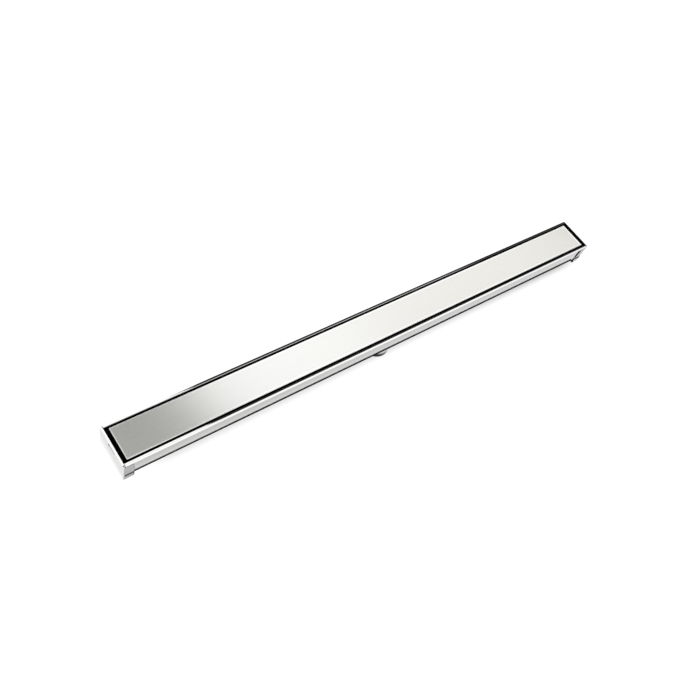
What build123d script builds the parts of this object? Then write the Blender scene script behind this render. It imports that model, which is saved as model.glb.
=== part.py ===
from build123d import *
import os

# Linear shower drain: an extruded channel closed by two end caps, a flush cover panel carried on moulded
# supports, and a round outlet under the middle. Millimetres. X runs along the drain, Y across it, and Z up
# from the lower end of the outlet spigot.

# Overall sizes
length = 1000.0              # over the end caps
width = 72.0                 # over the rims
height = 77.0                # top of the rims above the lower end of the outlet
channel_depth = 40.0         # top of the rims to the underside of the channel
foot_depth = 43.0            # top of the rims to the underside of the end caps

# Channel extrusion
wall = 2.0                   # side walls
floor_thickness = 2.2
corner_radius = 6.0          # outside radius between a wall and the floor
rim_width = 5.0
rim_height = 4.5
rim_outer_radius = 2.7
rim_inner_radius = 1.2       # at the slot
rim_overhang = 1.5           # how far a rim stands out beyond the wall below it
rib_spacing = 44.0           # between the two grooved ribs under the floor
rib_wall = 1.8               # either side of the screw groove
rib_height = 4.0

# End caps
plate_thickness = 2.5
tongue_length = 12.5         # inward from the end plate, at the top of a tongue
tongue_lean = 3.0            # further inward at its lower edge
tongue_height = 23.4
tongue_corner = 3.0
cradle_rise = 6.0            # foot ledge, up the sides of the channel
barb_length = 3.0
barb_height = 8.0
barb_rise = 1.4
barb_drop = 10.0             # rim underside to the middle of a barb
barb_setback = 6.0           # end plate to the middle of a barb
mark_length = 20.0           # blank oblong recess in the end face
mark_height = 6.0
mark_sink = 0.6
mark_depth = 8.0             # top of the rims to the middle of the recess
edge_fall = 0.6              # the plate's edges slope outwards by this
edge_run = 2.2               # over this much of its thickness
foot_chamfer = 0.8
seal_thickness = 1.2

# Cover panel
side_slot = 3.0              # between the panel and a rim
end_slot = 6.5               # between the panel and an end plate
sheet = 1.5
panel_drop = 12.0            # folded edge
bend_radius = 2.0            # outside of the fold
corner_relief = 2.2

# Panel supports and pads
support_count = 4
support_inset = 90.0         # end of the drain to the middle of the first support
support_length = 24.0
bridge_thickness = 3.0
leg_thickness = 3.5
leg_spacing = 32.0           # clear width between the legs
support_foot_thickness = 3.0
arm_height = 5.0
arm_level = 12.0             # floor to the middle of an arm
arch_radius = 6.0
pad_length = 14.0
pad_width = 8.0
pad_thickness = 2.0
pad_sink = 0.6
pad_chamfer = 0.5

# Outlet
spigot_diameter = 50.0
spigot_wall = 3.0
spigot_chamfer = 1.2
floor_hole = 42.0
hub_diameter = 56.0
flange_length = 100.0
flange_width = 54.0
flange_thickness = 4.0
flange_corner = 7.0
collar_diameter = 53.0       # stop for the drain pipe, under the flange
collar_drop = 5.0
gasket_thickness = 1.5
gasket_width = 5.5
screw_spacing = 84.0         # along the drain
screw_diameter = 4.0
screw_length = 7.5
screw_head_flats = 7.0       # across the flats of the hexagon
screw_head_height = 2.6

# Strainer basket
strainer_sheet = 1.0
strainer_rim = 52.0
strainer_cup = 40.0
strainer_depth = 26.0        # rim underside to the bottom of the cup
strainer_slots = 12
strainer_slot_width = 4.0
strainer_slot_length = 15.0
strainer_base_slots = 3
strainer_base_pitch = 8.0
handle_strip = 1.5           # thickness of the strip
handle_width = 6.0
handle_span = 45.0           # outside the legs
handle_rise = 13.0
handle_bend = 6.0

# Fits
clearance = 0.1              # sliding fit between pieces
loose = 0.3                  # drop-in fit of panel and supports

# Levels and lines that several pieces share
under_channel = height - channel_depth
channel_floor = under_channel + floor_thickness
under_rim = height - rim_height
under_foot = height - foot_depth
wall_face = width / 2 - rim_overhang
wall_inside = wall_face - wall
slot_face = width / 2 - rim_width
channel_length = length - 2 * plate_thickness
panel_length = channel_length - 2 * end_slot
panel_width = 2 * (slot_face - side_slot)
panel_underside = height - sheet
rib_underside = under_channel - rib_height
groove_width = screw_diameter + 2 * clearance
rib_width = groove_width + 2 * rib_wall
hub_clear = hub_diameter / 2 + loose
barb_line = channel_length / 2 - barb_setback
foot_length = tongue_length + tongue_lean
pad_line = leg_spacing / 2 + leg_thickness / 2
upward = (Align.CENTER, Align.CENTER, Align.MIN)


def trough(half_width, bottom, top, radius):
    """A rectangle with its two lower corners rounded, drawn across the drain."""
    outline = Pos(0, (bottom + top) / 2) * Rectangle(2 * half_width, top - bottom)
    return fillet(outline.vertices().sort_by(Axis.Y)[:2], radius)


def arch(half_width, bottom, top, radius):
    """A rectangle with its two upper corners rounded."""
    outline = Pos(0, (bottom + top) / 2) * Rectangle(2 * half_width, top - bottom)
    return fillet(outline.vertices().sort_by(Axis.Y)[-2:], radius)


def across(sketch, start, amount):
    """Extrude a section drawn across the drain along X, from start by amount."""
    return extrude(Plane.YZ.offset(start) * sketch, amount)


def on_both_sides(shape):
    return shape + mirror(shape, about=Plane.XZ)


# Channel: one extrusion with a screw groove in each rib; the outlet hole, the rib ends and the barb slots
# are machined afterwards.
def rim_section():
    rim_line = width / 2 - rim_width / 2
    section = Pos(rim_line, height - rim_height / 2) * Rectangle(rim_width, rim_height)
    outer_top = section.vertices().sort_by_distance((width / 2, height, 0))[0]
    section = fillet(outer_top, rim_outer_radius)
    inner_top = section.vertices().sort_by_distance((slot_face, height, 0))[0]
    return fillet(inner_top, rim_inner_radius)


def channel():
    middle_of_rim = height - rim_height / 2
    section = trough(wall_face, under_channel, middle_of_rim, corner_radius)
    section -= trough(wall_inside, channel_floor, height, corner_radius - wall)
    section += rim_section() + mirror(rim_section(), about=Plane.YZ)
    rib = Rectangle(rib_width, rib_height + floor_thickness / 2, align=(Align.CENTER, Align.MIN))
    groove = Rectangle(groove_width, rib_height, align=(Align.CENTER, Align.MIN))
    for side in (-1, 1):
        section += Pos(side * rib_spacing / 2, rib_underside) * rib
        section -= Pos(side * rib_spacing / 2, rib_underside) * groove
    body = across(section, -channel_length / 2, channel_length)

    # The ribs are cut back for the outlet hub and for the foot of each end cap.
    rib_band = rib_spacing + rib_width + 2 * clearance
    cap_reach = plate_thickness + foot_length + loose
    for middle, reach in ((0, hub_clear), (-length / 2, cap_reach), (length / 2, cap_reach)):
        body -= Pos(middle, 0, rib_underside) * Box(2 * reach, rib_band, rib_height, align=upward)
    body -= Pos(0, 0, under_channel) * Cylinder(floor_hole / 2, 3 * floor_thickness)
    slot = Box(barb_length + 2 * clearance, 2 * width, barb_height + 2 * clearance)
    for end in (-1, 1):
        body -= Pos(end * barb_line, 0, under_rim - barb_drop) * slot
    return body


# End cap: plate, two side tongues with snap barbs, and a foot that cradles the channel's lower corners.
def end_seal_section(spare):
    ring = trough(wall_face + spare, under_channel - spare, under_rim, corner_radius + spare)
    return ring - trough(wall_inside - spare, channel_floor + spare, height, corner_radius - wall - spare)


def end_cap():
    outside = -length / 2
    inside = -channel_length / 2
    plate = across(arch(width / 2, under_foot, height, rim_outer_radius), outside, plate_thickness)
    end_face = plate.faces().sort_by(Axis.X)[0]
    plate = chamfer(end_face.edges(), edge_fall, edge_run, reference=end_face)

    lower_edge = -tongue_height
    outline = Polyline((0, 0), (tongue_length, 0), (foot_length, lower_edge), (0, lower_edge), close=True)
    outline = make_face(outline)
    outline = fillet(outline.vertices().sort_by(Axis.X)[-2:], tongue_corner)
    tongue = extrude(Plane.XZ * outline, rim_overhang - clearance)
    toe = barb_length / 2
    wedge = make_face(Polyline((-toe, 0), (-toe, -barb_rise), (toe, 0), close=True))
    barb = extrude(wedge, barb_height / 2, both=True)
    tongue = Pos(inside, width / 2, under_rim - clearance) * tongue
    tongue += Pos(-barb_line, wall_face + clearance, under_rim - barb_drop) * barb

    foot_height = under_channel + cradle_rise - under_foot
    foot = Box(foot_length, width, foot_height, align=(Align.MIN, Align.CENTER, Align.MIN))
    foot = chamfer(foot.edges().filter_by(Axis.Z).group_by(Axis.X)[-1], foot_chamfer)
    foot = Pos(inside, 0, under_foot) * foot
    cradle = trough(wall_face + clearance, under_channel, height, corner_radius + clearance)
    foot -= across(cradle, inside, foot_length)

    cap = plate + on_both_sides(tongue) + foot
    cap -= across(end_seal_section(clearance), inside - seal_thickness, seal_thickness)
    mark_face = Plane((outside, 0, height - mark_depth), x_dir=(0, -1, 0), z_dir=(-1, 0, 0))
    return cap - extrude(mark_face * SlotOverall(mark_length, mark_height), -mark_sink)


def end_seal():
    return across(end_seal_section(0), -channel_length / 2 - seal_thickness, seal_thickness)


# Cover panel: one sheet with all four edges folded down, relieved at the corners.
def folded_block(spare, top, drop, radius):
    block = Box(panel_length - 2 * spare, panel_width - 2 * spare, drop)
    block = Pos(0, 0, top - drop / 2) * block
    return fillet(block.faces().sort_by(Axis.Z)[-1].edges(), radius)


def cover_panel():
    panel = folded_block(0, height, panel_drop, bend_radius)
    panel -= folded_block(sheet, panel_underside, panel_drop, bend_radius - sheet)
    notch = Box(2 * corner_relief, 2 * corner_relief, panel_drop)
    notch = Pos(0, 0, height - bend_radius - panel_drop / 2) * notch
    return panel - GridLocations(panel_length, panel_width, 2, 2) * notch


# Panel support: a moulded arch with feet on the channel floor and arms that centre it between the walls.
def panel_support():
    bridge_top = panel_underside - pad_thickness + pad_sink
    bridge_half = panel_width / 2 - sheet - loose
    leg_outside = leg_spacing / 2 + leg_thickness
    foot_half = wall_face - corner_radius
    arm_half = wall_inside - loose
    bridge = Pos(0, bridge_top - bridge_thickness / 2) * Rectangle(2 * bridge_half, bridge_thickness)
    legs = Pos(0, (channel_floor + bridge_top) / 2) * Rectangle(2 * leg_outside, bridge_top - channel_floor)
    feet = Rectangle(2 * foot_half, support_foot_thickness)
    feet = Pos(0, channel_floor + support_foot_thickness / 2) * feet
    arms = Pos(0, channel_floor + arm_level) * Rectangle(2 * arm_half, arm_height)
    opening = arch(leg_spacing / 2, channel_floor, bridge_top - bridge_thickness, arch_radius)
    body = across(bridge + legs + feet + arms - opening, -support_length / 2, support_length)
    seat = Pos(0, 0, bridge_top) * Box(pad_length + 2 * clearance, pad_width + 2 * clearance, 2 * pad_sink)
    return body - [Pos(0, side * pad_line, 0) * seat for side in (-1, 1)]


def support_pads():
    pad = Box(pad_length, pad_width, pad_thickness)
    pad = chamfer(pad.faces().sort_by(Axis.Z)[-1].edges(), pad_chamfer)
    pad = Pos(0, 0, panel_underside - pad_thickness / 2) * pad
    return Compound(children=[Pos(0, side * pad_line, 0) * pad for side in (-1, 1)])


# Outlet body: a hub and spigot on a screwed flange, with a collar where the drain pipe stops.
def outlet_body():
    bore = spigot_diameter / 2 - spigot_wall
    hub_top = under_channel - gasket_thickness
    flange_top = rib_underside
    flange_under = flange_top - flange_thickness
    flange = RectangleRounded(flange_length, flange_width, flange_corner)
    flange = extrude(Plane.XY.offset(flange_under) * flange, flange_thickness)
    hub = Pos(0, 0, flange_under) * Cylinder(hub_diameter / 2, hub_top - flange_under, align=upward)
    spigot = Cylinder(spigot_diameter / 2, flange_under, align=upward)
    spigot = chamfer(spigot.edges().sort_by(Axis.Z)[0], spigot_chamfer)
    collar = Pos(0, 0, flange_under - collar_drop) * Cylinder(collar_diameter / 2, collar_drop, align=upward)
    body = flange + hub + collar + spigot - Cylinder(bore, 2 * height)
    hole = Cylinder(screw_diameter / 2 + loose, 2 * height)
    return body - GridLocations(screw_spacing, rib_spacing, 2, 2) * hole


def outlet_gasket():
    outside = hub_diameter / 2 - clearance
    ring = Circle(outside) - Circle(outside - gasket_width)
    return extrude(Plane.XY.offset(under_channel - gasket_thickness) * ring, gasket_thickness)


def outlet_screws():
    seat = rib_underside - flange_thickness
    shank = Cylinder(screw_diameter / 2, screw_length, align=upward)
    hexagon = RegularPolygon(screw_head_flats / 2, 6, major_radius=False)
    screw = shank + extrude(hexagon, -screw_head_height)
    return Compound(children=[place * (Pos(0, 0, seat) * screw)
                              for place in GridLocations(screw_spacing, rib_spacing, 2, 2)])


# Strainer: a pressed basket whose rim lies on the channel floor round the outlet hole.
def strainer_basket():
    rim = Cylinder(strainer_rim / 2, strainer_sheet, align=upward)
    cup_height = strainer_depth + strainer_sheet
    cup = Pos(0, 0, -strainer_depth) * Cylinder(strainer_cup / 2, cup_height, align=upward)
    inside = Cylinder(strainer_cup / 2 - strainer_sheet, cup_height, align=upward)
    basket = rim + cup - Pos(0, 0, strainer_sheet - strainer_depth) * inside
    window = Box(4 * strainer_sheet, strainer_slot_width, strainer_slot_length)
    window = Pos(0, 0, -strainer_depth / 2) * window
    basket -= PolarLocations(strainer_cup / 2, strainer_slots, 180 / strainer_slots) * window
    reach = strainer_cup - 2 * (strainer_base_pitch + strainer_sheet)
    base_slot = Pos(0, 0, -strainer_depth) * Box(reach, strainer_slot_width, 3 * strainer_sheet)
    basket -= GridLocations(reach, strainer_base_pitch, 1, strainer_base_slots) * base_slot
    return Pos(0, 0, channel_floor) * basket


def strainer_handle():
    foot = channel_floor + strainer_sheet
    top = foot + handle_rise
    strip = arch(handle_span / 2, foot, top, handle_bend)
    strip -= arch(handle_span / 2 - handle_strip, foot, top - handle_strip, handle_bend - handle_strip)
    return extrude(Plane.XZ * strip, handle_width / 2, both=True)


# The assembly, one file for each piece or group of like fasteners.
pieces = {
    "channel": channel(),
    "end_cap_left": end_cap(),
    "end_cap_right": mirror(end_cap(), about=Plane.YZ),
    "end_seal_left": end_seal(),
    "end_seal_right": mirror(end_seal(), about=Plane.YZ),
    "cover_panel": cover_panel(),
    "outlet_body": outlet_body(),
    "outlet_gasket": outlet_gasket(),
    "outlet_screws": outlet_screws(),
    "strainer_basket": strainer_basket(),
    "strainer_handle": strainer_handle(),
}
support_pitch = (length - 2 * support_inset) / (support_count - 1)
for index in range(support_count):
    place = Pos(support_inset - length / 2 + index * support_pitch, 0, 0)
    pieces[f"panel_support_{index + 1}"] = place * panel_support()
    pieces[f"support_pads_{index + 1}"] = place * support_pads()

os.makedirs("parts", exist_ok=True)
for name, piece in pieces.items():
    export_step(piece, f"parts/{name}.step")
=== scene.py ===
from math import pi, radians

import bpy
from mathutils import Matrix, Vector


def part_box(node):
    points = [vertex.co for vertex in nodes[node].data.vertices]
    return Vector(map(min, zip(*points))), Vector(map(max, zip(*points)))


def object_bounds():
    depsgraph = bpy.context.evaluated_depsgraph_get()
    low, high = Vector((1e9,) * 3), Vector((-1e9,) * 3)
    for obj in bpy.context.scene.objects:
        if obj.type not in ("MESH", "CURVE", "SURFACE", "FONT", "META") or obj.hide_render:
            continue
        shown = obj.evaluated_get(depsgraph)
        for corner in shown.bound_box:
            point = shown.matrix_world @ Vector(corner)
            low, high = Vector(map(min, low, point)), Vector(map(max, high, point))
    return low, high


# Linear shower drain, put together from the channel outwards: seals and end caps, the outlet below, the
# strainer, the supports and pads, and last the cover panel. Metres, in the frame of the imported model.
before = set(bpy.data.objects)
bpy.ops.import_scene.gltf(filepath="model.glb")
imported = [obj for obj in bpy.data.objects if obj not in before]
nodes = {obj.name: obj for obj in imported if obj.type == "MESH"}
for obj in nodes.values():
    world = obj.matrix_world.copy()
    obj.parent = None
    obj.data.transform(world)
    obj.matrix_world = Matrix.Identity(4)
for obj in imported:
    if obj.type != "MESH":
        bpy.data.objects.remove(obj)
cad_low, cad_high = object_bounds()


# Channel
# One aluminium extrusion, clear anodised, with faint draw lines along it from the die. The beads on top are
# buffed, with painted shade on their inner edge and far shoulder. It rests in the feet of the end caps.
# Painted shade darkens the gaps beside their tongues, the joints with their plates and the inside of the
# trough, and the walls are painted lighter towards the bottom.
class Shade:
    """A shader socket that takes part in Python expressions; each operation adds its node to the tree."""

    def __init__(self, tree, socket=None):
        self.tree, self.socket = tree, socket

    def node(self, kind, settings=None, sockets=None, output=0):
        made = self.tree.nodes.new("ShaderNode" + kind)
        for name, value in (settings or {}).items():
            setattr(made, name, value)
        for name, value in (sockets or {}).items():
            if isinstance(value, Shade):
                self.tree.links.new(value.socket, made.inputs[name])
            else:
                made.inputs[name].default_value = value
        return Shade(self.tree, made.outputs[output])

    def maths(self, operation, first, second):
        return self.node("Math", {"operation": operation}, {0: first, 1: second})

    def __add__(self, other):
        return self.maths("ADD", self, other)

    def __sub__(self, other):
        return self.maths("SUBTRACT", self, other)

    def __rsub__(self, other):
        return self.maths("SUBTRACT", other, self)

    def __mul__(self, other):
        return self.maths("MULTIPLY", self, other)

    __radd__, __rmul__ = __add__, __mul__


def new_finish(name, colour, **constants):
    """A material, its shader node and a Shade to write its expressions with."""
    material = bpy.data.materials.new(name)
    material.use_nodes = True
    shader = material.node_tree.nodes["Principled BSDF"]
    shader.inputs["Base Color"].default_value = (*colour, 1.0)
    for socket, value in constants.items():
        shader.inputs[socket.replace("_", " ").title()].default_value = value
    return material, shader, Shade(material.node_tree)


def feed(material, shader, **sockets):
    """Link values that change over the surface to the shader's sockets of these names."""
    for name, value in sockets.items():
        material.node_tree.links.new(value.socket, shader.inputs[name.replace("_", " ").title()])


def grain(shade, stretch, detail=3.0):
    """Noise from 0 to 1 over the object's own metres, with so many cycles a metre along X, Y and Z."""
    place = shade.node("TexCoord", output="Object")
    place = shade.node("VectorMath", {"operation": "MULTIPLY"}, {0: place, 1: stretch})
    return shade.node("TexNoise", {}, {"Vector": place, "Scale": 1.0, "Detail": detail})


def relief(shade, height, depth):
    """A normal for a surface whose height from 0 to 1 stands for so many metres of depth."""
    return shade.node("Bump", {}, {"Height": height, "Distance": depth, "Strength": 1.0})


def tint(shade, first, second, amount):
    """A colour that goes from first to second as amount goes from 0 to 1."""
    colours = [colour if isinstance(colour, Shade) else (*colour, 1.0) for colour in (first, second)]
    return shade.node("Mix", {"data_type": "RGBA"}, {0: amount, 6: colours[0], 7: colours[1]}, 2)


def axis_of(shade, vector, axis, apart=False):
    """One axis of a place or a direction, or with apart its size whatever its sign."""
    value = shade.node("SeparateXYZ", {}, {0: shade.node("TexCoord", output=vector)}, axis)
    return shade.node("Math", {"operation": "ABSOLUTE"}, {0: value}) if apart else value


def past(shade, value, edge, width):
    """1 where value is past edge, 0 before it, eased over width."""
    return shade.node("MapRange", {"interpolation_type": "SMOOTHSTEP"},
                      {"Value": value, "From Min": edge - width / 2, "From Max": edge + width / 2})


def zone(shade, axis, edge, width=0.0004, apart=False):
    """1 where the place along an axis, or its distance from the middle plane, is past edge."""
    return past(shade, axis_of(shade, "Object", axis, apart), edge, width)


joined_smooth = bpy.data.node_groups.new("joined_smooth", "GeometryNodeTree")
joined_smooth.interface.new_socket("Geometry", in_out="INPUT", socket_type="NodeSocketGeometry")
joined_smooth.interface.new_socket("Geometry", in_out="OUTPUT", socket_type="NodeSocketGeometry")
entry = joined_smooth.nodes.new("NodeGroupInput")
leave = joined_smooth.nodes.new("NodeGroupOutput")
join = joined_smooth.nodes.new("GeometryNodeMergeByDistance")
join.inputs["Distance"].default_value = 1e-6
smooth = joined_smooth.nodes.new("GeometryNodeSetMeshNormal")
smooth.inputs["Remove Custom"].default_value = True
smooth.inputs["Edge Sharpness"].default_value = False
smooth.inputs["Face Sharpness"].default_value = False
joined_smooth.links.new(entry.outputs[0], join.inputs["Geometry"])
joined_smooth.links.new(join.outputs["Geometry"], smooth.inputs["Mesh"])
joined_smooth.links.new(smooth.outputs["Mesh"], leave.inputs[0])


def dress(node, material, edge):
    """Give a solid its finish and break its hard edges by the radius edge, as deburring does."""
    piece = nodes[node]
    piece.data.materials.clear()
    piece.data.materials.append(material)
    piece.modifiers.new("joined", "NODES").node_group = joined_smooth
    flat = piece.modifiers.new("flat", "DECIMATE")
    flat.decimate_type = "DISSOLVE"
    flat.angle_limit = radians(0.5)
    broken = piece.modifiers.new("broken", "BEVEL")
    broken.limit_method = "ANGLE"
    broken.angle_limit = radians(32)
    broken.width = edge
    broken.segments = 3
    broken.harden_normals = True


along, across, upward = "X", "Y", "Z"
channel_low, channel_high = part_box("channel")
lower_wall = channel_low.z + 0.0250            # the walls are lighter below here
trough_side = channel_high.y - 0.0030
trough_bottom = channel_low.z + 0.0050
trough_top = channel_high.z - 0.0020
bead_height = 0.0045
bead_polish = channel_high.z - 0.0026          # a bead is polished above here
bead_flat = channel_high.y - 0.0041            # inner edge of its buffed top
bead_shoulder = channel_high.y - 0.0025
edge_shade_start = 0.21                         # their inner edges are darker to the right of here
edge_shade_gain = 0.0013                        # and this much wider on the far bead
shoulder_shade_start, shoulder_shade_end = -0.36, 0.22             # stretch of the far shoulder with painted shade
tongue_length = 0.0125
tongue_lean = 0.128                            # a tongue's gain in length for each metre down
gap_shade_width = 0.0013
gap_shade_gain = 0.0044                          # more of it shows at the right end
joint_width = 0.0009
wall_dark, wall_light, wall_foot_painted_light = (0.40, 0.40, 0.395), (0.48, 0.48, 0.475), (0.56, 0.56, 0.555)
bead_bright, bead_shoulder_shade = (0.77, 0.77, 0.765), (0.22, 0.22, 0.218)
edge_shade_light, edge_shade_dark = (0.38, 0.38, 0.377), (0.08, 0.08, 0.08)
gap_shade_left, gap_shade_right = (0.20, 0.20, 0.20), (0.03, 0.03, 0.03)
joint_shade_black, trough_shade_black = (0.04, 0.04, 0.04), (0.03, 0.03, 0.03)

material, shader, shade = new_finish("anodised_channel", (0.55, 0.55, 0.545), metallic=1.0)
draw_lines = grain(shade, (2.5, 900, 900))
cloud = grain(shade, (14, 14, 14))
wall_colour = tint(shade, wall_dark, wall_light, 0.6 * draw_lines + 0.4 * cloud)
# Painted light: the walls are painted lighter below lower_wall.
painted_light_below = 1 - zone(shade, upward, lower_wall, width=0.0130)
wall_colour = tint(shade, wall_colour, wall_foot_painted_light, 0.8 * painted_light_below)

# Painted shade in the gap beside each tongue of the end caps, deeper and wider at the right end.
tongue_edge = channel_high.x - tongue_length - tongue_lean * (channel_high.z - bead_height)
right_half = zone(shade, along, 0.0, width=0.1)
leaning = axis_of(shade, "Object", along, apart=True) - tongue_lean * axis_of(shade, "Object", upward)
gap_shade = past(shade, leaning + gap_shade_gain * right_half, tongue_edge - gap_shade_width, width=0.0004)
wall_colour = tint(shade, wall_colour, tint(shade, gap_shade_left, gap_shade_right, right_half), gap_shade)

# Painted shade on the beads' inner edges, deeper to the right and wider on the far bead.
edge_shade_stretch = zone(shade, along, edge_shade_start, width=0.12)
far_half = zone(shade, across, 0.0, width=0.01)
off_centre = axis_of(shade, "Object", across, apart=True)
buffed = past(shade, off_centre - edge_shade_gain * (far_half * edge_shade_stretch), bead_flat, width=0.0006)
bead_colour = tint(shade, tint(shade, edge_shade_light, edge_shade_dark, edge_shade_stretch), bead_bright, buffed)
# Painted shade on the far bead's outer shoulder.
shoulder_shade = zone(shade, along, shoulder_shade_start, width=0.08) * (1 - zone(shade, along, shoulder_shade_end, width=0.16))
shoulder_shade = shoulder_shade * zone(shade, across, bead_shoulder, width=0.0008)
bead_colour = tint(shade, bead_colour, bead_shoulder_shade, shoulder_shade)

bead = zone(shade, upward, bead_polish, width=0.0008)
# Painted shade in the joint with each end cap's plate.
joint = zone(shade, along, channel_high.x - joint_width, apart=True)
# Painted shade inside the trough, which is also rougher.
trough = zone(shade, upward, trough_bottom) * (1 - zone(shade, upward, trough_top, width=0.001))
trough = trough * (1 - zone(shade, across, trough_side, apart=True))
colour = tint(shade, tint(shade, wall_colour, bead_colour, bead), joint_shade_black, joint)
feed(material, shader, base_color=tint(shade, colour, trough_shade_black, trough),
     roughness=0.07 + 0.06 * draw_lines + 0.4 * trough - 0.05 * bead,
     normal=relief(shade, draw_lines, depth=0.00001))
dress("channel", material, edge=0.0003)


# End seals
# A U of black rubber, pressed into the groove on the inside of each end cap, that the end of the channel
# bears on.
rubber_dark, rubber_light = (0.014, 0.014, 0.014), (0.035, 0.035, 0.034)
material, shader, shade = new_finish("seal_rubber", (0.02, 0.02, 0.02), roughness=0.7)
bloom = grain(shade, (160, 160, 160))
pores = grain(shade, (1400, 1400, 1400))
feed(material, shader, base_color=tint(shade, rubber_dark, rubber_light, bloom),
     roughness=0.58 + 0.24 * bloom, normal=relief(shade, pores, depth=0.00005))
rubber = material
for side in ("left", "right"):
    dress(f"end_seal_{side}", rubber, edge=0.00015)


# End caps
# Polished aluminium castings, each a plate with two side tongues that snap into the channel's walls and a
# foot ledge under it. The oblong sunk into the end face is left blank. Painted shade darkens the sides, the
# ledge, the oblong and the inside, and the end face carries painted light and shade.
flank_line = cad_high.y - 0.0003
ledge_line = cad_high.z - 0.020
sunk_line = cad_high.x - 0.0003
face_line = cad_low.z + 0.0475                 # the end face is lighter below here
face_slope = 0.12                              # a little higher towards the far side
faces_out, faces_in, faces_up = 0.35, -0.15, 0.7     # limits that tell which way a face looks
polish_dark, polish_light = (0.70, 0.70, 0.695), (0.76, 0.76, 0.755)
face_shade_dark, face_shade_light, face_foot_painted_light = (0.54, 0.54, 0.535), (0.60, 0.60, 0.595), (0.72, 0.72, 0.715)
side_shade_grey, sunk_shade_grey, inside_shade_black = (0.34, 0.34, 0.337), (0.29, 0.29, 0.288), (0.02, 0.02, 0.02)

material, shader, shade = new_finish("polished_cap", (0.72, 0.72, 0.715), metallic=1.0)
buffing = grain(shade, (60, 420, 420))
outward = axis_of(shade, "Object", along) * axis_of(shade, "Normal", along)
end_face = past(shade, outward, faces_out, width=0.10)
inward = 1 - past(shade, outward, faces_in, width=0.10)
# Painted shade on the side faces and on the faces of the foot ledge.
flank = zone(shade, across, flank_line, apart=True)
ledge = past(shade, axis_of(shade, "Normal", upward, apart=True), faces_up, width=0.2)
ledge = ledge * (1 - zone(shade, upward, ledge_line))
# Painted shade in the sunk oblong.
sunk = end_face * (1 - zone(shade, along, sunk_line, width=0.0002, apart=True))
# Painted light and shade on the end face: darker than the rest of the cap, and lighter towards its foot.
face_height = axis_of(shade, "Object", upward) - face_slope * axis_of(shade, "Object", across)
face_colour = tint(shade, face_foot_painted_light, tint(shade, face_shade_dark, face_shade_light, buffing),
                   past(shade, face_height, face_line, width=0.0160))
colour = tint(shade, tint(shade, polish_dark, polish_light, buffing), side_shade_grey, flank)
colour = tint(shade, tint(shade, colour, face_colour, end_face), sunk_shade_grey, sunk)
colour = tint(shade, colour, side_shade_grey, ledge)
# Painted shade on the inside of the cap, which is also rougher.
feed(material, shader, base_color=tint(shade, colour, inside_shade_black, inward),
     roughness=0.06 + 0.08 * buffing + 0.5 * inward, normal=relief(shade, buffing, depth=0.00001))
for side in ("left", "right"):
    dress(f"end_cap_{side}", material, edge=0.0004)


# Outlet
# A die-cast body under the middle of the channel, with a fine cast skin and painted shade along its lower
# lip. A rubber gasket seals it to the channel's underside, and four hexagon screws hold its flange to the
# ribs.
lip_line = cad_low.z + 0.0100
cast_dark, cast_light, lip_shade_black = (0.50, 0.50, 0.50), (0.66, 0.66, 0.655), (0.015, 0.015, 0.015)
material, shader, shade = new_finish("cast_outlet", (0.60, 0.60, 0.60), metallic=1.0)
skin = grain(shade, (700, 700, 700))
flow = grain(shade, (40, 40, 25))
cast = tint(shade, cast_dark, cast_light, 0.5 * skin + 0.5 * flow)
# Painted shade along the lower lip.
lip_shade = 1 - zone(shade, upward, lip_line, width=0.0060)
feed(material, shader, base_color=tint(shade, cast, lip_shade_black, lip_shade),
     roughness=0.32 + 0.2 * skin, normal=relief(shade, skin, depth=0.00006))
dress("outlet_body", material, edge=0.0004)
dress("outlet_gasket", rubber, edge=0.0002)

steel_dark, steel_light = (0.50, 0.50, 0.49), (0.66, 0.66, 0.65)
material, shader, shade = new_finish("fitting_steel", (0.60, 0.60, 0.59), metallic=1.0)
wear = grain(shade, (260, 260, 260))
rolling = grain(shade, (1500, 1500, 300))
feed(material, shader, base_color=tint(shade, steel_dark, steel_light, wear),
     roughness=0.20 + 0.16 * wear, normal=relief(shade, rolling, depth=0.00003))
fitting = material
dress("outlet_screws", fitting, edge=0.0003)


# Strainer
# A basket pressed from stainless sheet that drops into the outlet hole and rests by its rim on the channel
# floor, with a strip handle to lift it by.
dress("strainer_basket", fitting, edge=0.0002)
dress("strainer_handle", fitting, edge=0.0003)


# Panel supports and pads
# Four saddles moulded in black plastic stand on the channel floor, with a fine eroded grain. Two soft pads
# in each keep the panel from rattling.
plastic_dark, plastic_light = (0.024, 0.024, 0.026), (0.042, 0.042, 0.045)
material, shader, shade = new_finish("support_plastic", (0.03, 0.03, 0.032), roughness=0.5)
erosion = grain(shade, (1100, 1100, 1100))
feed(material, shader, base_color=tint(shade, plastic_dark, plastic_light, erosion),
     roughness=0.42 + 0.2 * erosion, normal=relief(shade, erosion, depth=0.00005))
for index in range(1, 5):
    dress(f"panel_support_{index}", material, edge=0.0004)
    dress(f"support_pads_{index}", rubber, edge=0.0002)


# Cover panel
# Stainless sheet with all four edges folded down and brushed along its length to a satin finish. Painted
# highlights run beside the folds and painted shade lies on them. It lies loose on the pads, flush with the
# beads of the channel.
panel_low, panel_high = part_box("cover_panel")
side_band, end_band = 0.0036, 0.0045           # widths of the painted highlights along the edges
left_highlight = 0.35                                # the left end has less painted highlight than the rest
fold_line = panel_high.z - 0.0005
cool_start, warm_start = -0.38, 0.0            # the steel's hue drifts from the left end to the right
left_dark, left_light = (0.668, 0.668, 0.632), (0.736, 0.736, 0.696)
cool_dark, cool_light = (0.668, 0.668, 0.654), (0.736, 0.736, 0.720)
warm_dark, warm_light = (0.655, 0.643, 0.614), (0.722, 0.709, 0.677)
edge_highlight, end_highlight, fold_shade_black = (0.82, 0.815, 0.80), (0.92, 0.915, 0.90), (0.03, 0.03, 0.03)

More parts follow.
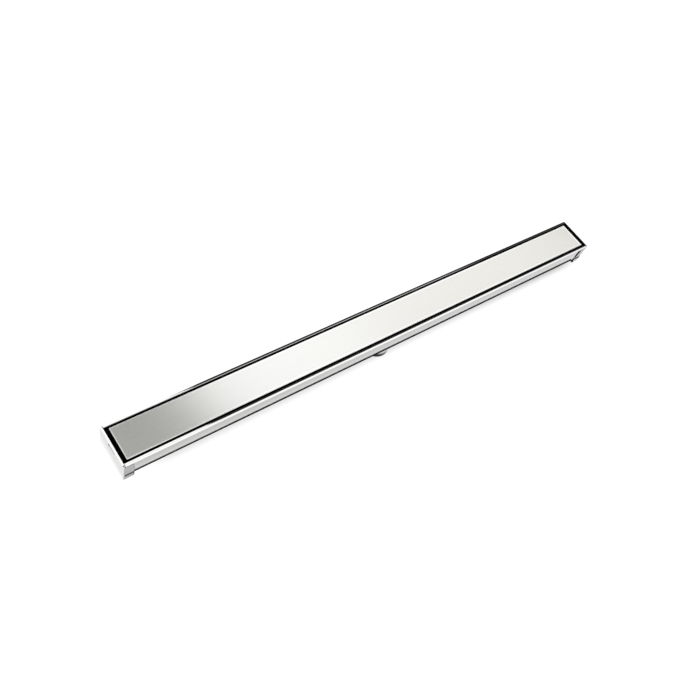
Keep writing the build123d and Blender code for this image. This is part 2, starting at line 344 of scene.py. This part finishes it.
material, shader, shade = new_finish("satin_panel", (0.70, 0.695, 0.68), metallic=1.0)
brush = grain(shade, (9, 2600, 2600), detail=2.0)
strokes = grain(shade, (2.2, 420, 420))
streaks = 0.5 * brush + 0.5 * strokes
satin = tint(shade, left_dark, left_light, streaks)
cool = tint(shade, cool_dark, cool_light, streaks)
warm = tint(shade, warm_dark, warm_light, streaks)
satin = tint(shade, satin, cool, zone(shade, along, cool_start, width=0.16))
satin = tint(shade, satin, warm, zone(shade, along, warm_start, width=0.36))
# Painted highlights along the sides and ends, beside the folds.
sides = zone(shade, across, panel_high.y - side_band, width=0.001, apart=True)
left_end = 1 - zone(shade, along, panel_low.x + end_band, width=0.001)
right_end = zone(shade, along, panel_high.x - end_band, width=0.001)
painted_highlight = shade.maths("MAXIMUM", sides, left_highlight * left_end)
# Painted shade on the folded-down edges, which are also rougher.
fold = 1 - zone(shade, upward, fold_line, width=0.0006)
edged = tint(shade, tint(shade, satin, edge_highlight, painted_highlight), end_highlight, right_end)
feed(material, shader, base_color=tint(shade, edged, fold_shade_black, fold),
     roughness=0.17 + 0.06 * brush + 0.04 * strokes + 0.2 * fold,
     normal=relief(shade, brush, depth=0.00001))
dress("cover_panel", material, edge=0.0002)


# Floor
# A pale light table that glows, with a soft painted shadow on it under the drain. Two black cards below the
# walls stand in for the shade under the drain: seen in reflections alone, they draw the dark line along the
# bottom of the walls.
floor_reach = 6.0
floor_gap = 0.0005                             # under the drain, and between the cards and the channel
shade_left, shade_right = cad_low.x + 0.06, cad_high.x + 0.022
shade_half_width, shade_limit = 0.022, 0.6
shade_weight, shade_gain, gain_start = 0.50, 0.30, 0.28      # deeper to the right
table_white, table_shade_grey = (1.0, 1.0, 1.0), (0.04, 0.04, 0.04)
card_inside, card_reach_left, card_reach_right = 0.022, 0.0401, 0.0411
card_left, card_right = channel_low.x + 0.0155, channel_high.x - 0.0085


def flat_card(name, corners, height, material):
    """A level card of the stage with these four corners."""
    mesh = bpy.data.meshes.new(name)
    mesh.from_pydata([(x, y, height) for x, y in corners], [], [(0, 1, 2, 3)])
    mesh.materials.append(material)
    card = bpy.data.objects.new(name, mesh)
    bpy.context.scene.collection.objects.link(card)
    return card


material, shader, shade = new_finish("light_table", (0.15, 0.15, 0.15), roughness=0.9)
shader.inputs["Emission Strength"].default_value = 1.0
under = 1 - zone(shade, across, shade_half_width, width=0.032, apart=True)
under = shade.maths("MINIMUM", under, shade_limit)
under = under * zone(shade, along, shade_left, width=0.08)
under = under * (1 - zone(shade, along, shade_right, width=0.08))
under = under * (shade_weight + shade_gain * zone(shade, along, gain_start, width=0.5))
feed(material, shader, emission_color=tint(shade, table_white, table_shade_grey, under))
floor = flat_card("floor", [(-floor_reach, -floor_reach), (floor_reach, -floor_reach),
                            (floor_reach, floor_reach), (-floor_reach, floor_reach)],
                  cad_low.z - floor_gap, material)

material, shader, shade = new_finish("black_card", (0.0, 0.0, 0.0), roughness=1.0)
for name, side in (("near_card", -1), ("far_card", 1)):
    card = flat_card(name, [(card_left, side * card_inside), (card_right, side * card_inside),
                            (card_right, side * card_reach_right), (card_left, side * card_reach_left)],
                     channel_low.z - floor_gap, material)
    card.visible_camera = card.visible_diffuse = False
    card.visible_shadow = card.visible_transmission = False


# Light
# Soft boxes stand around the drain and hang over it, and what they leave open is dim, which draws the dark
# lines on the bright metal. The brushed sheet scatters light wider than the polished pieces do, so it has
# boxes of its own. The backdrop is white to the camera alone.
dimness = 0.03
ceiling = 1.6


def soft_box(name, centre, facing, width, height, radiance, receivers=None):
    """A soft box of even brightness for these receivers or all; radiance 1 is the picture's white."""
    lamp = bpy.data.lights.new(name, "AREA")
    lamp.shape = "RECTANGLE"
    lamp.size, lamp.size_y = width, height
    lamp.energy = radiance * pi * width * height
    box = bpy.data.objects.new(name, lamp)
    box.location = centre
    box.rotation_euler = Vector(facing).to_track_quat("-Z", "Y").to_euler()
    box.visible_camera = False
    box.light_linking.receiver_collection = receivers
    bpy.context.scene.collection.objects.link(box)


world = bpy.data.worlds.new("studio")
bpy.context.scene.world = world
world.use_nodes = True
shade = Shade(world.node_tree)
backdrop = shade.node("LightPath", output="Is Camera Ray") * (1.0 - dimness) + dimness
world.node_tree.links.new(backdrop.socket, world.node_tree.nodes["Background"].inputs["Strength"])
world.node_tree.nodes["Background"].inputs["Color"].default_value = (1.0, 1.0, 1.0, 1.0)

sheet = bpy.data.collections.new("sheet_alone")
sheet.objects.link(nodes["cover_panel"])
others = bpy.data.collections.new("all_but_sheet")
for piece in [floor, *nodes.values()]:
    if piece is not nodes["cover_panel"]:
        others.objects.link(piece)

down, nearer, farther, leftward, rightward = (0, 0, -1), (0, -1, 0), (0, 1, 0), (-1, 0, 0), (1, 0, 0)
soft_box("front_bank", (0.73, -1.98, ceiling), down, 2.76, 4.00, 1.20)
soft_box("far_left_bank", (-1.35, 0.80, ceiling), down, 1.80, 1.20, 1.40)

soft_box("bead_bank", (-0.15, 0.80, ceiling), down, 0.66, 1.20, 1.40, others)
soft_box("front_right_bank", (2.86, -1.98, ceiling), down, 1.50, 4.00, 1.20, others)
soft_box("far_wall", (-1.52, 2.40, 1.17), nearer, 3.95, 2.25, 1.50, others)
soft_box("front_wall", (1.00, -4.00, 1.10), farther, 10.0, 2.20, 1.05, others)
soft_box("left_wall", (-4.00, 0.00, 1.10), rightward, 8.00, 2.20, 1.05, others)

soft_box("left_bank", (-0.16, 0.60, ceiling), down, 0.58, 0.80, 0.42, sheet)
soft_box("right_bank", (0.52, 1.09, ceiling), down, 0.78, 1.80, 1.36, sheet)
soft_box("far_right_bank", (1.90, 1.09, ceiling), down, 1.98, 1.80, 1.24, sheet)
soft_box("left_sheet_bank", (-2.32, -1.90, ceiling), down, 3.34, 4.20, 1.10, sheet)
soft_box("right_sheet_bank", (3.30, -1.90, ceiling), down, 2.38, 4.20, 0.65, sheet)
soft_box("front_sheet_wall", (0.20, -4.00, 0.80), farther, 8.40, 1.55, 1.10, sheet)
soft_box("left_sheet_wall", (-4.00, -0.70, 0.80), rightward, 6.60, 1.55, 1.10, sheet)
soft_box("right_sheet_wall", (4.50, -0.70, 0.80), leftward, 6.60, 1.55, 1.10, sheet)
soft_box("far_sheet_wall", (0.00, 2.60, 1.15), nearer, 9.00, 2.20, 1.30, sheet)


# Camera
# Above the left end and in front, tilted so that the drain lies across the picture.
camera_place = Vector((-0.7304, -0.4524, 1.1061))
camera_aim = Vector((-0.0940, -0.0209, 0.0770))
camera_roll = radians(24.62)
lens = bpy.data.cameras.new("camera")
lens.lens = 40.437
lens.clip_start, lens.clip_end = 0.01, 50.0
camera = bpy.data.objects.new("camera", lens)
bpy.context.scene.collection.objects.link(camera)
look = (camera_aim - camera_place).to_track_quat("-Z", "Y").to_matrix().to_4x4()
camera.matrix_world = Matrix.Translation(camera_place) @ look @ Matrix.Rotation(camera_roll, 4, "Z")
bpy.context.scene.camera = camera
bpy.context.scene.view_settings.view_transform = "Standard"
